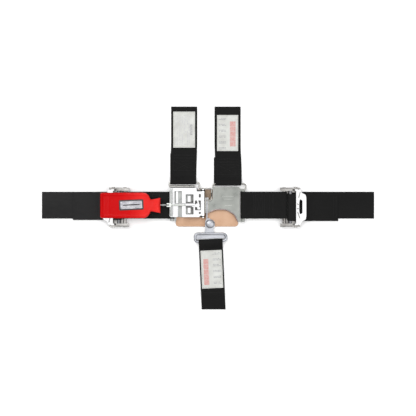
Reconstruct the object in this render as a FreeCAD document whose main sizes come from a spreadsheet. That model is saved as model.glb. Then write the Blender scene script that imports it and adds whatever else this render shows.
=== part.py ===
"""Five-point racing harness with a latch-and-link buckle, laid out flat.

X runs along the lap belt, +Y towards the shoulder belts, +Z up. The origin is under the middle
of the layout, on the surface that it lies on. All sizes are in millimetres.
"""
import FreeCAD, Part
import math
import os
import re
from FreeCAD import Placement, Rotation, Vector

SIZES = {
    # layout
    "half_span": 312.0, "shoulder_end": 190.5, "crotch_end": 190.5,
    "lap_mid": 5.3, "adjuster_mid": 1.5, "crotch_lean": 2.56,
    # webbing
    "web": 1.5, "lap_width": 50.4, "shoulder_width": 49.0, "crotch_width": 45.0,
    "tail_end": 244.4, "layer_gap": 0.1, "loop_gap": 0.2, "label_thick": 0.4,
    # leather pad
    "pad_left": 60.5, "pad_right": 56.4, "pad_top": 34.4, "pad_bottom": 34.8, "pad_thick": 3.0,
    # latch base
    "sheet": 2.5, "base_left": 62.2, "base_right": 5.6, "base_top": 37.6, "base_bottom": 17.0,
    "arm_end": 70.5, "arm_bottom": 24.0, "slot_top": 31.5, "slot_bottom": 20.8,
    "bar_radius": 3.0, "latch_bar_x": 67.5, "latch_bar_z": 6.0,
    # lever and its hinge
    "hinge_x": 9.4, "hinge_z": 12.0, "pin_radius": 1.8, "barrel_radius": 3.6, "ear_thick": 2.2,
    "lever_left": 71.5, "lever_z": 13.0, "lever_thick": 2.2, "running": 0.05,
    # cable and grip
    "cable_y": 5.5, "cable_z": 17.2, "cable_radius": 1.5, "rod_radius": 2.0,
    "swing_x": 74.5, "grip_mid": 4.8, "grip_left": 200.2, "grip_right": 88.4,
    "grip_half": 23.9, "grip_z": 15.3, "grip_height": 10.7,
    # link
    "link_z": 6.0, "link_thick": 2.2, "link_right": 59.2, "link_top": 39.5,
    "link_bar_x": 65.5, "tongue_tip": 31.0, "tongue_top": 16.0, "tongue_bottom": 6.0,
    # wire fittings
    "wire_radius": 1.3, "wire_z": 4.6, "eye_thick": 1.8, "bail_radius": 2.5, "bail_z": 5.35,
    "left_ring_y": 47.4, "right_ring_y": 45.0, "bail_y": 62.5, "left_mid": 44.8,
    "right_mid": 36.8, "crotch_mid": 4.9,
    # adjuster, measured outwards from its fixed bar
    "right_adjuster_x": 142.5, "left_adjuster_x": 155.5, "adjuster_half": 36.5,
    "adjuster_bar_z": 7.0, "slide_bar_u": 11.5, "slide_bar_z": 7.4, "slide_bar_radius": 3.5,
    "cam_pin_u": 21.5, "cam_pin_radius": 2.0, "cam_z": 12.9, "cam_thick": 2.0,
    "frame_floor": 2.0, "frame_height": 12.9, "ear_end": 30.0, "ear_start": 7.5,
}
UP = Vector(0, 0, 1)
RIVETS = ((-45.0, 26.0), (-45.0, -8.0), (-40.0, 6.0))

doc = FreeCAD.newDocument("harness")
sheet = doc.addObject("Spreadsheet::Sheet", "Sizes")
for row, (alias, value) in enumerate(SIZES.items(), 1):
    sheet.set("A%d" % row, alias)
    sheet.set("B%d" % row, str(value))
    sheet.setAlias("B%d" % row, alias)
doc.recompute()
size = type("Size", (), {alias: float(sheet.get(alias)) for alias in SIZES})
finished = []


# ---------------------------------------------------------------- helpers

def bind(text):
    """Turns words of the sheet in an expression into references to its cells."""
    return re.sub(r"[a-z_]+", lambda word: "Sizes." + word.group(), str(text))


def drive(item, **expressions):
    """Binds properties of an object to expressions of the sheet."""
    for name, text in expressions.items():
        item.setExpression(name.replace("_at_", "Placement.Base."), bind(text))


def box(corner, extent):
    """A block from its lowest corner and its extent, both as expressions."""
    solid = doc.addObject("Part::Box", "Block")
    drive(solid, Length=extent[0], Width=extent[1], Height=extent[2])
    drive(solid, _at_x=corner[0], _at_y=corner[1], _at_z=corner[2])
    return solid


def rod(start, radius, length, along="Y"):
    """A round bar from the middle of its first end, along X, Y or Z."""
    turns = {"X": Rotation(Vector(0, 1, 0), 90), "Y": Rotation(Vector(1, 0, 0), -90), "Z": Rotation()}
    solid = doc.addObject("Part::Cylinder", "Rod")
    solid.Placement = Placement(Vector(), turns[along])
    drive(solid, Radius=radius, Height=length)
    drive(solid, _at_x=start[0], _at_y=start[1], _at_z=start[2])
    return solid


def fuse(*items):
    """One solid from overlapping ones."""
    joined = doc.addObject("Part::MultiFuse", "Join")
    joined.Shapes = list(items)
    joined.Refine = True
    return joined


def cut(base, *tools):
    """A solid less the tools."""
    remainder = doc.addObject("Part::Cut", "Trim")
    remainder.Base = base
    remainder.Tool = tools[0] if len(tools) == 1 else group(*tools)
    return remainder


def group(*items):
    """Several separate solids as one object."""
    together = doc.addObject("Part::Compound", "Set")
    together.Links = list(items)
    return together


def finish(label, item, placement=None):
    """Names a sub-part and puts it in its place."""
    item.Label = label
    if placement is not None:
        item.Placement = placement
    finished.append(item)
    return item


def corner_arc(before, point, after, radius):
    """The tangent points, middle, centre and turning sense of a rounded corner."""
    first = (point - before).normalize()
    second = (after - point).normalize()
    sense = 1.0 if first.cross(second).z > 0 else -1.0
    reach = radius * math.tan(first.getAngle(second) / 2)
    start = point - first * reach
    end = point + second * reach
    centre = start + Vector(-first.y, first.x, 0) * radius * sense
    middle = centre + (point - centre).normalize() * radius
    return start, middle, end, centre, sense


def joined_edges(chain):
    """Lines and arcs through a chain of points, where a pair is an arc's middle and end."""
    edges = []
    here = chain[0]
    for step in chain[1:]:
        if isinstance(step, tuple):
            edges.append(Part.Arc(here, step[0], step[1]))
            here = step[1]
        elif (step - here).Length > 1e-6:
            edges.append(Part.LineSegment(here, step))
            here = step
    return edges


def closed_outline(corners):
    """A closed outline from (x, y, corner radius) points."""
    points = [Vector(x, y, 0) for x, y, _ in corners]
    chain = []
    for i, (_, _, radius) in enumerate(corners):
        if radius == 0:
            chain.append(points[i])
            continue
        start, middle, end, _, _ = corner_arc(points[i - 1], points[i],
                                              points[(i + 1) % len(points)], radius)
        chain += [start, (middle, end)]
    return joined_edges(chain + [chain[0]])


def band_outline(route, thick):
    """The edge view of a band of even thickness whose middle follows (run, height, radius)."""
    points = [Vector(x, y, 0) for x, y, _ in route]
    sides = []
    for offset in (thick / 2, -thick / 2):
        heading = (points[1] - points[0]).normalize()
        chain = [points[0] + Vector(-heading.y, heading.x, 0) * offset]
        for i in range(1, len(points) - 1):
            start, middle, end, centre, sense = corner_arc(*points[i - 1:i + 2], route[i][2])
            scale = 1 - sense * offset / route[i][2]
            start, middle, end = (centre + (p - centre) * scale for p in (start, middle, end))
            chain += [start, (middle, end)]
        heading = (points[-1] - points[-2]).normalize()
        chain.append(points[-1] + Vector(-heading.y, heading.x, 0) * offset)
        sides.append(chain)
    left, right = (joined_edges(chain) for chain in sides)
    caps = [Part.LineSegment(sides[0][i], sides[1][i]) for i in (0, -1)]
    return left + right + caps


def extruded(plane, edges, depth, both_ways=False):
    """A body with one sketch on an origin plane, padded to a depth."""
    body = doc.addObject("PartDesign::Body", "Body")
    sketch = body.newObject("Sketcher::SketchObject", "Sketch")
    origin = next(f for f in body.Origin.OriginFeatures if f.Role == plane)
    sketch.AttachmentSupport = [(origin, "")]
    sketch.MapMode = "FlatFace"
    sketch.addGeometry(edges, False)
    pad = body.newObject("PartDesign::Pad", "Pad")
    pad.Profile = sketch
    pad.Midplane = both_ways
    drive(pad, Length=depth)
    return body


def plate(loops, bottom, thick):
    """A flat plate from its outline and its openings."""
    edges = [edge for loop in loops for edge in closed_outline(loop)]
    body = extruded("XY_Plane", edges, thick)
    drive(body, _at_z=bottom)
    return body


def rectangle(left, right, low, high, radius):
    """A rounded rectangle as outline corners."""
    return [(left, low, radius), (right, low, radius), (right, high, radius), (left, high, radius)]


def bent_wire(points, radius, bend):
    """A round wire along straight runs joined by tangent bends."""
    corners = [Vector(*point) for point in points]
    edges = []
    here = corners[0]
    for before, point, after in zip(corners, corners[1:], corners[2:]):
        first = (point - before).normalize()
        second = (after - point).normalize()
        turn = first.getAngle(second)
        start = point - first * bend * math.tan(turn / 2)
        end = point + second * bend * math.tan(turn / 2)
        inward = (second - first).normalize()
        middle = point + inward * bend * (1 / math.cos(turn / 2) - 1)
        edges.append(Part.LineSegment(here, start).toShape())
        edges.append(Part.Arc(start, middle, end).toShape())
        here = end
    edges.append(Part.LineSegment(here, corners[-1]).toShape())
    section = Part.Wire(Part.makeCircle(radius, corners[0], corners[1] - corners[0]))
    feature = doc.addObject("Part::Feature", "Wire")
    feature.Shape = Part.Wire(edges).makePipeShell([section], True, False)
    return feature


# ---------------------------------------------------------------- webbing

def web_around(bar_radius):
    """The radius that the middle of the webbing takes round a bar."""
    return bar_radius + size.loop_gap + size.web / 2


def lap_inner_route(buckle_x, buckle_z, adjuster_x):
    """From the sewn tail, round the buckle's bar, outwards and round the adjuster's bar."""
    turn = web_around(size.bar_radius)
    bend = turn - 0.05
    low = 6.7
    high = low + size.web + size.layer_gap
    far_z = size.adjuster_bar_z
    return [
        (adjuster_x - 34, low, 0), (buckle_x + 18, low, 12), (buckle_x + 7, buckle_z - turn, 9),
        (buckle_x - turn, buckle_z - turn, bend), (buckle_x - turn, buckle_z + turn, bend),
        (buckle_x + 5, buckle_z + turn, 9), (buckle_x + 19, high, 12), (adjuster_x - 18, high, 12),
        (adjuster_x - 6, far_z + turn, 9), (adjuster_x + turn, far_z + turn, bend),
        (adjuster_x + turn, far_z - turn, bend), (adjuster_x - 6, far_z - turn, 9),
        (adjuster_x - 17, low, 12), (adjuster_x - 28, low, 0)]


def lap_outer_route(adjuster_x, tail_end):
    """From the far end inwards, round the slide bar and back on top as the tail."""
    turn = web_around(size.slide_bar_radius)
    bend = turn - 0.05
    bar_x = adjuster_x + size.slide_bar_u
    low = size.web / 2
    floor = size.slide_bar_z - turn
    return [
        (size.half_span, low, 0), (adjuster_x + 56, low, 30), (adjuster_x + 36, floor, 30),
        (bar_x - turn, floor, bend), (bar_x - turn, floor + 2 * turn, bend),
        (bar_x + 5, floor + 2 * turn, 9), (adjuster_x + 55, 3 * low + size.layer_gap, 30),
        (tail_end, 3 * low + size.layer_gap, 0)]


def ended_loop_route(bar_z, bar_radius, fold_length, end):
    """From the tail underneath, round a fitting's bar and out along the strap."""
    turn = web_around(bar_radius)
    bend = turn - 0.05
    low = size.web / 2
    high = 3 * low + size.layer_gap
    return [
        (fold_length, low, 0), (11, low, 12), (5, bar_z - turn, 8),
        (-turn, bar_z - turn, bend), (-turn, bar_z + turn, bend), (4, bar_z + turn, 5),
        (13, high, 8), (fold_length + 2, high, 12), (fold_length + 9, low, 12), (end, low, 0)]


def strap(label, route, width, placement):
    """A webbing strap from its side view, centred on its placement."""
    body = extruded("XZ_Plane", band_outline(route, size.web), width, both_ways=True)
    return finish(label, body, placement)


def side_frame(x, y, side):
    """The frame of a lap-belt piece: local X points away from the buckle."""
    return Placement(Vector(x * side, y, 0), Rotation(UP, 0 if side > 0 else 180))


def lap_belt(name, side, buckle_x, buckle_z, adjuster_x):
    """The two straps of one side of the lap belt."""
    lap = side_frame(0, size.lap_mid, side)
    strap(name + "_lap_inner_strap", lap_inner_route(buckle_x, buckle_z, adjuster_x),
          "lap_width", lap)
    strap(name + "_lap_outer_strap", lap_outer_route(adjuster_x, size.tail_end),
          "lap_width", lap)


def shoulder_belt(name, x, ring_y, fold_length, label_width, label_y):
    """A shoulder strap, looped on its fitting, with its sewn label."""
    end = size.shoulder_end - ring_y
    route = ended_loop_route(size.wire_z, size.wire_radius, fold_length, end)
    strap(name + "_shoulder_strap", route, "shoulder_width",
          Placement(Vector(x, ring_y, 0), Rotation(UP, 90)))
    sewn_label(name + "_shoulder_label", label_width, 67.5,
               Placement(Vector(x, label_y, size.web), Rotation()))


def sewn_label(label, width, length, placement):
    """A thin label whose middle is at the placement."""
    outline = closed_outline(rectangle(-width / 2, width / 2, -length / 2, length / 2, 1.0))
    finish(label, extruded("XY_Plane", outline, "label_thick"), placement)


def crotch_belt():
    """The crotch strap, looped on its bail, leaning a little, with its sewn label."""
    lean = Rotation(UP, size.crotch_lean - 90)
    place = Placement(Vector(size.crotch_mid, -size.bail_y, 0), lean)
    overlong = size.crotch_end - size.bail_y + 4
    route = ended_loop_route(size.bail_z, size.bail_radius, 98, overlong)
    body = extruded("XZ_Plane", band_outline(route, size.web), "crotch_width", both_ways=True)
    body.Placement = place
    square_end = box(("-half_span", "-crotch_end - 20", "-5"), ("2 * half_span", "20", "20"))
    finish("crotch_strap", cut(body, square_end))
    layers = 2 * size.web + size.layer_gap
    sewn_label("crotch_label", 71.0, 39.6, Placement(
        place.multVec(Vector(52.5, 0, layers)), lean))


# ---------------------------------------------------------------- latch

def leather_pad():
    """The pad behind the buckle, with holes for the rivets."""
    body = plate([rectangle(-size.pad_left, size.pad_right, -size.pad_bottom, size.pad_top, 6)],
                 "0", "pad_thick")
    holes = [rod((x, y, -1), "rod_radius", 10, "Z") for x, y in RIVETS]
    finish("leather_pad", cut(body, *holes))


def latch_base():
    """The pressed base with its strap bar at the left and its hinge ears at the right."""
    outline = [
        (-size.arm_end, size.base_top, 3), (-size.arm_end, size.slot_top, 1),
        (-size.base_left, size.slot_top, 1), (-size.base_left, -size.slot_bottom, 1),
        (-size.arm_end, -size.slot_bottom, 1), (-size.arm_end, -size.arm_bottom, 1),
        (-59.5, -size.arm_bottom, 1.5), (-59.5, -size.base_bottom, 1),
        (-size.base_right, -size.base_bottom, 1), (-size.base_right, 33.9, 1),
        (-19.5, 33.9, 1), (-19.5, size.base_top, 1.5)]
    floor = plate([outline], "pad_thick", "sheet")
    bar = rod(("-latch_bar_x", "-arm_bottom", "latch_bar_z"), "bar_radius", "arm_bottom + base_top")
    ears = []
    for low in ("-base_bottom", "33.9 - ear_thick"):
        ears.append(box(("-hinge_x - 3.8", low, "pad_thick"),
                        ("7.6", "ear_thick", "hinge_z - pad_thick")))
        ears.append(rod(("-hinge_x", low, "hinge_z"), "3.8", "ear_thick"))
    pin_hole = rod(("-hinge_x", "-60", "hinge_z"), "pin_radius", "120")
    rivet_holes = [rod((x, y, -1), "rod_radius", 20, "Z") for x, y in RIVETS]
    finish("latch_base", cut(fuse(floor, bar, *ears), pin_hole, *rivet_holes))


def base_rivets():
    """Rivets that hold the base, the pad and the spring together."""
    rivets = []
    for i, (x, y) in enumerate(RIVETS):
        top = size.pad_thick + size.sheet + (0.8 if i == 2 else 0)
        shank = rod((x, y, 0.4), "rod_radius", top, "Z")
        head = doc.addObject("Part::Cone", "Head")
        head.Radius1 = 3.2
        head.Radius2 = 2.0
        head.Height = 1.3
        head.Placement = Placement(Vector(x, y, top), Rotation())
        rivets.append(fuse(shank, head))
    finish("base_rivets", group(*rivets))


def latch_rails():
    """Raised rails on the base, seen through the lever's windows."""
    outlines = (("-59.8", "-15.5", "4", "46.5"), ("-37.8", "11.6", "5.2", "11"),
                ("-37.8", "-9.4", "5.2", "9.8"))
    rails = [box((x, y, "pad_thick + sheet"), (length, width, "3.5"))
             for x, y, length, width in outlines]
    finish("latch_rails", group(*rails))


def eject_spring():
    """A leaf spring that pushes the tongue out."""
    foot = box(("-46", "1", "pad_thick + sheet"), ("12", "10", "0.8"))
    lip = box(("-34.8", "1", "pad_thick + sheet"), ("0.8", "10", "4"))
    hole = rod((*RIVETS[2], 0), "rod_radius", 12, "Z")
    finish("eject_spring", cut(fuse(foot, lip), hole))


def hinge_pin():
    """The lever's hinge pin with a head at each end."""
    shank = rod(("-hinge_x", "-base_bottom - 1.2", "hinge_z"), "pin_radius", "base_bottom + 36.3")
    low_head = rod(("-hinge_x", "-base_bottom - 1.2", "hinge_z"), "3", "1.2")
    high_head = rod(("-hinge_x", "33.9", "hinge_z"), "3", "1.2")
    finish("hinge_pin", fuse(shank, low_head, high_head))


def latch_lever():
    """The skeleton lever: a plate with windows and the hinge barrel at its right edge."""
    outline = [
        (-size.lever_left, -size.base_bottom, 3), (-56.5, -size.base_bottom, 1),
        (-56.5, 3.5, 1), (-48.5, 3.5, 1), (-48.5, -size.base_bottom, 1),
        (-16.5, -size.base_bottom, 1),
        (-14.5, -14.2, 1), (-size.hinge_x, -14.2, 0), (-size.hinge_x, 31.0, 0),
        (-21.0, 31.0, 1), (-21.0, size.base_top, 2), (-size.lever_left, size.base_top, 3)]
    windows = [rectangle(-62.5, -48.5, 9.0, 31.5, 1.2), rectangle(-41.5, -27.0, 9.0, 25.5, 1.2),
               rectangle(-41.5, -27.0, -12.0, 3.5, 1.2), rectangle(-24.2, -13.4, -4.2, 14.0, 1.2),
               rectangle(-17.0, -13.4, 19.6, 26.0, 1.0), rectangle(-17.0, -13.4, -11.0, -7.4, 1.0)]
    skeleton = plate([outline] + windows, "lever_z", "lever_thick")
    barrel = rod(("-hinge_x", "-14.5", "hinge_z"), "barrel_radius", "45.8")
    bore = rod(("-hinge_x", "-60", "hinge_z"), "pin_radius + running", "120")
    finish("latch_lever", cut(fuse(skeleton, barrel), bore))


def latch_hook():
    """The tooth that holds the tongue, on a bent arm under the lever's middle opening."""
    arm = [(-30.0, 2.0, 0.5), (-20.5, 2.0, 0.5), (-19.5, -2.8, 1), (-14.4, -2.8, 1),
           (-14.4, 0.8, 1), (-16.6, 2.4, 0.5), (-15.4, 5.0, 0.5), (-18.6, 15.6, 0.5),
           (-21.4, 15.6, 0.5), (-18.9, 7.0, 0.5), (-30.0, 7.0, 0.5)]
    tooth = box(("-22", "1.5", "link_z"), ("3.5", "7", "lever_z - link_z"))
    finish("latch_hook", fuse(tooth, plate([arm], "lever_z - 1.5", "1.5")))


def cable_anchor():
    """The swaged rod on the lever with a fork for the cable's eye."""
    shaft = rod(("-72", "cable_y", "cable_z"), "rod_radius", "30.6", "X")
    heel = box(("-72.1", "cable_y - 3.35", "cable_z - 2"), ("3", "6.7", "4"))
    cheeks = [box(("-77", low, "cable_z - 2"), ("5", "1.6", "4"))
              for low in ("cable_y - 3.35", "cable_y + 1.75")]
    hole = rod(("-swing_x", "-20", "cable_z"), "1", "60")
    finish("cable_anchor", cut(fuse(shaft, heel, *cheeks), hole))
    finish("anchor_pin", rod(("-swing_x", "cable_y - 3.6", "cable_z"), "1", "7.2"))


def cable_and_grip():
    """The eye, the cable and the moulded grip with its plain badge."""
    eye = rod(("-swing_x", "cable_y - 1.4", "cable_z"), "1.8", "2.8")
    neck = rod(("-80", "cable_y", "cable_z"), "1.2", "4.5", "X")
    ferrule = rod(("-85", "cable_y", "cable_z"), "rod_radius", "6", "X")
    bore = rod(("-swing_x", "-20", "cable_z"), "1 + running", "60")
    finish("cable_eye", cut(fuse(eye, neck, ferrule), bore))
    finish("release_cable", rod(("-97", "cable_y", "cable_z"), "cable_radius", "12", "X"))
    upper = [(-size.grip_left, size.grip_half, 3), (-112.0, size.grip_half, 14),
             (-106.8, 10.6, 3), (-size.grip_right, 14.2, 2)]
    lower = [(x, -y, radius) for x, y, radius in reversed(upper)]
    moulding = plate([upper + [(-size.grip_right - 2, 0, 3)] + lower], "grip_z", "grip_height")
    moulding.Placement.Base.y = size.grip_mid
    socket = rod(("-97", "cable_y", "cable_z"), "cable_radius", "20", "X")
    finish("release_grip", cut(moulding, socket))
    badge = plate([rectangle(-163.0, -121.5, -1.9, 13.5, 2.5)], "grip_z + grip_height", "0.8")
    finish("grip_badge", badge)


# ---------------------------------------------------------------- link and fittings

def link_plate():
    """The link: a plate with a tongue, an arched lower edge and a strap bar."""
    outline = [
        (-size.tongue_tip, size.tongue_top - 2, 4), (-size.tongue_tip, -size.tongue_bottom + 2, 4),
        (1.6, -size.tongue_bottom, 1), (1.6, -8.5, 2), (15.0, -3.0, 22), (34.0, -3.0, 22),
        (50.0, -13.0, 12), (56.0, -26.0, 2), (68.5, -26.0, 3), (68.5, -size.slot_bottom, 0.5),
        (size.link_right, -size.slot_bottom, 1), (size.link_right, size.slot_top, 1),
        (68.5, size.slot_top, 0.5), (68.5, 35.0, 2), (size.link_right, 36.5, 2),
        (size.link_right, size.link_top, 2), (8.5, size.link_top, 2), (8.5, size.tongue_top, 1)]
    catch = rectangle(-25.5, -17.5, 0.5, 9.5, 1)
    flat = plate([outline, catch], "link_z", "link_thick")
    bar = rod(("link_bar_x", "-26", "link_z + link_thick / 2"), "bar_radius", "58.9")
    finish("link_plate", fuse(flat, bar))


def eye(left, low, high, top):
    """A thin upright plate with a window for the tongue."""
    solid = box((left, low, "pad_thick + 0.3"), ("eye_thick", high - low, top))
    window = box((left - 1, "-tongue_bottom - 0.4", "link_z - 0.3"),
                 (4, "tongue_bottom + tongue_top + 0.8", "link_thick + 0.6"))
    return cut(solid, window)


def left_shoulder_fitting():
    """A wire ring for the strap, an arm past the latch and a hook over the tongue."""
    z = size.wire_z
    over = 11.2
    ring_y = size.left_ring_y
    wire = bent_wire([(-24, 40.5, z), (-72.5, 40.5, z), (-72.5, ring_y, z), (-16.2, ring_y, z),
                      (-16.2, 36, z), (6.3, 36, z), (6.3, 28, z), (6.3, 20, over),
                      (6.3, 14.5, over), (-4.3, 14.5, over)], size.wire_radius, 2.0)
    roller = rod(("-70.5", "40.5", "wire_z"), "2.3", "46", "X")
    finish("left_shoulder_fitting", fuse(wire, roller, eye(-5.2, -9.5, 19.5, 7.6)))


def right_shoulder_fitting():
    """A wire form that passes under the link to its eye on the tongue."""
    z = size.wire_z
    wire = bent_wire([(0.5, 12, z), (9.5, 12, z), (9.5, size.right_ring_y, z),
                      (70.5, size.right_ring_y, z), (70.5, 34.5, z), (16, 34.5, z)],
                     size.wire_radius, 3.0)
    finish("right_shoulder_fitting", fuse(wire, eye(-0.8, -9.5, 19.5, 6.4)))


def crotch_fitting():
    """An eye on the tongue, a domed plate, and the bail with its web for the strap."""
    upright = box(("-2.9", "-24", "pad_thick + 0.3"), ("eye_thick", "14", "6.4"))
    pear = [(-3.2, -20, 1.5), (1.6, -19, 1.5), (11.5, -24.5, 4), (13.0, -31.5, 5),
            (9.4, -41, 3), (13.5, -49, 2), (-7.5, -49, 2), (-5.0, -41, 3),
            (-5.6, -31.5, 5), (-5.0, -24.5, 3)]
    body = plate([pear], "pad_thick + 0.4", "sheet")
    dome = doc.addObject("Part::Ellipsoid", "Dome")
    dome.Radius1, dome.Radius2, dome.Radius3 = 4.6, 9.1, 8.8
    dome.Angle1 = 0
    dome.Placement = Placement(Vector(3.8, -29.8, size.pad_thick + 1.2), Rotation())
    web = plate([[(-21.8, -48.2, 0), (31.2, -48.2, 0), (31.2, -56.0, 0), (-21.8, -58.1, 0)]],
                "bail_z - 0.8", "1.6")
    bail = bent_wire([(5.25, -62.5, size.bail_z), (-23.8, -63.8, size.bail_z),
                      (-24.4, -48.5, size.bail_z), (33.6, -48.5, size.bail_z),
                      (34.3, -61.2, size.bail_z), (5.7, -62.48, size.bail_z)],
                     size.bail_radius, 5.5)
    finish("crotch_fitting", fuse(eye(-2.9, -11, 19.5, 6.4), upright, body, dome, web, bail))


# ---------------------------------------------------------------- adjusters

def bent_ear(side):
    """An ear of the frame with its lip bent inwards, by side 1 or -1."""
    half, top, sheet_thick = size.adjuster_half, size.frame_height, size.sheet
    section = [(half, 0, 0), (half, top, 2.4), (half - 6, top, 0), (half - 6, top - 1.6, 0),
               (half - sheet_thick, top - 1.6, 0.6), (half - sheet_thick, 0, 0)]
    outline = closed_outline([(y * side, z, radius) for y, z, radius in section])
    ear = extruded("YZ_Plane", outline, "ear_start + 15")
    drive(ear, _at_x="-ear_start")
    low = "-adjuster_half" if side < 0 else "adjuster_half - sheet"
    return [ear, box(("10", low, "0"), ("ear_end - 10", "sheet", "10.5"))]


def adjuster_frame():
    """A channel: floor, two ears with inward lips and holes for bars and pins."""
    floor = box(("2", "-adjuster_half", "0"), ("26", "2 * adjuster_half", "frame_floor"))
    holes = [rod((u, "-60", z), radius, "120") for u, z, radius in (
        ("0", "adjuster_bar_z", "bar_radius"),
        ("cam_pin_u", "adjuster_bar_z", "cam_pin_radius"))]
    slot = box(("slide_bar_u - 2.6", "-60", "slide_bar_z - 2.6"), ("7.2", "120", "5.2"))
    return cut(fuse(floor, *bent_ear(1), *bent_ear(-1)), *holes, slot)


def slide_bar():
    """The bar that clamps the strap, with narrower ends that run in the ears' slots."""
    middle = rod(("slide_bar_u", "-33.5", "slide_bar_z"), "slide_bar_radius", "67")
    ends = rod(("slide_bar_u", "-36.3", "slide_bar_z"), "2.2", "72.6")
    return fuse(middle, ends)


def cam_lever():
    """The lever plate with its finger slot and the two arms on the stub pins."""
    upper = [(22.0, 32.6, 1), (30.0, 32.6, 1.5), (32.6, 26.6, 2.5), (39.6, 23.2, 3.5),
             (40.8, 17.0, 3)]
    lower = [(x, -y, radius) for x, y, radius in reversed(upper)]
    slot = [(28.8, -13.6, 1.6), (33.6, -11.0, 2), (33.6, 12.6, 2), (28.8, 15.4, 1.6),
            (27.6, 7.0, 4), (27.6, -6.0, 4)]
    top = plate([upper + lower, slot], "cam_z", "cam_thick")
    arms = []
    for low in ("-33.4", "30.8"):
        arms.append(box(("cam_pin_u - 2", low, "adjuster_bar_z"),
                        ("6", "2.6", "cam_z + 1 - adjuster_bar_z")))
        arms.append(rod(("cam_pin_u", low, "adjuster_bar_z"), "3.6", "2.6"))
    bore = rod(("cam_pin_u", "-60", "adjuster_bar_z"), "cam_pin_radius + running", "120")
    return cut(fuse(top, *arms), bore)


def stub_pins():
    """Two short pins for the cam lever, each with a head outside its ear."""
    pins = []
    for start, head in (("-adjuster_half - 1.2", "-adjuster_half - 1.2"), ("30", "adjuster_half")):
        pins.append(fuse(
            rod(("cam_pin_u", start, "adjuster_bar_z"), "cam_pin_radius", "adjuster_half - 28.8"),
            rod(("cam_pin_u", head, "adjuster_bar_z"), "3.4", "1.2")))
    return group(*pins)


def adjuster(name, side, adjuster_x):
    """All the pieces of one lap adjuster."""
    place = side_frame(adjuster_x, size.adjuster_mid, side)
    finish(name + "_adjuster_frame", adjuster_frame(), place)
    bar = rod(("0", "-adjuster_half - 0.8", "adjuster_bar_z"), "bar_radius",
              "2 * adjuster_half + 1.6")
    finish(name + "_adjuster_bar", group(bar), place)
    finish(name + "_slide_bar", slide_bar(), place)
    finish(name + "_stub_pins", stub_pins(), place)
    finish(name + "_cam_lever", cam_lever(), place)


# ---------------------------------------------------------------- the whole

def build():
    """Builds every sub-part."""
    leather_pad()
    latch_base()
    base_rivets()
    latch_rails()
    eject_spring()
    hinge_pin()
    latch_lever()
    latch_hook()
    cable_anchor()
    cable_and_grip()
    link_plate()
    left_shoulder_fitting()
    right_shoulder_fitting()
    crotch_fitting()
    shoulder_belt("left", -size.left_mid, size.left_ring_y, 55, 40.8, 147.2)
    shoulder_belt("right", size.right_mid, size.right_ring_y, 50, 39.6, 140.8)
    crotch_belt()
    lap_belt("right", 1, size.link_bar_x, size.link_z + size.link_thick / 2,
             size.right_adjuster_x)
    lap_belt("left", -1, size.latch_bar_x, size.latch_bar_z, size.left_adjuster_x)
    adjuster("right", 1, size.right_adjuster_x)
    adjuster("left", -1, size.left_adjuster_x)
    doc.recompute()


def check_and_write():
    """Stops on any failed object, then writes one STEP file for each sub-part."""
    failed = [item.Name for item in doc.Objects
              if any(state in item.State for state in ("Invalid", "Error"))]
    if failed:
        raise SystemExit("failed objects: " + ", ".join(failed))
    os.makedirs("parts", exist_ok=True)
    for item in finished:
        shape = item.Shape
        if shape.isNull() or not shape.isValid() or not shape.Solids:
            raise SystemExit("bad shape: " + item.Label)
        shape.exportStep(os.path.join("parts", item.Label + ".step"))
        bounds = shape.BoundBox
        print("%-26s solids %d  x %7.1f %7.1f  y %7.1f %7.1f  z %5.1f %5.1f" % (
            item.Label, len(shape.Solids), bounds.XMin, bounds.XMax, bounds.YMin, bounds.YMax,
            bounds.ZMin, bounds.ZMax))


build()
check_and_write()
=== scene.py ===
"""Looks of a five-point racing harness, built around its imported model. All lengths in metres."""
import math
import random

import bmesh
import bpy
from mathutils import Matrix, Vector, noise


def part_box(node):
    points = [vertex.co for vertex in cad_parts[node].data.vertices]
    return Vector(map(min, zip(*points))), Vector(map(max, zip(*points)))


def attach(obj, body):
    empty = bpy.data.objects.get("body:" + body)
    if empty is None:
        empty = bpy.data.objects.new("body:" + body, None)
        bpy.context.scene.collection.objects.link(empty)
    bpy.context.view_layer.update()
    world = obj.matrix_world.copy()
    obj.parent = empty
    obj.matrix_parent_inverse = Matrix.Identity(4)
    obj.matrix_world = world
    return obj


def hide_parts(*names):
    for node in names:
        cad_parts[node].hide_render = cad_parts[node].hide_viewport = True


MM = 0.001
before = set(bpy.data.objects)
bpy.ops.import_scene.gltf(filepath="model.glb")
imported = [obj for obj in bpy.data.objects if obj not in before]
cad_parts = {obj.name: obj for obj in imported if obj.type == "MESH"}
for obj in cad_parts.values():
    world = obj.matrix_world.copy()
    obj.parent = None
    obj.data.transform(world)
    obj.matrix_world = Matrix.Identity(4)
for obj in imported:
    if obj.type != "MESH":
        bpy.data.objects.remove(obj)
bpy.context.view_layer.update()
rng = random.Random(11)

WEB = 1.5 * MM
LAYER_GAP = 0.1 * MM
LOOP_GAP = 0.2 * MM
LABEL_CLOTH = 0.3 * MM
FLOOR_LIFT = 0.02 * MM
FOLD_TOP = 3.2 * MM  # where the stitches of two layers of webbing lie
BEND_SLACK = 0.05 * MM
EDGE_BREAK = 0.45 * MM
LEVER_TOP = 6.8 * MM  # above the lever's lowest point

# Radii of the bars that the webbing goes round.
FIXED_BAR = 3 * MM
SLIDE_BAR = 3.5 * MM
SHOULDER_WIRE = 1.3 * MM
CROTCH_BAIL = 2.5 * MM


# ---------------------------------------------------------------- node helpers

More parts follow.
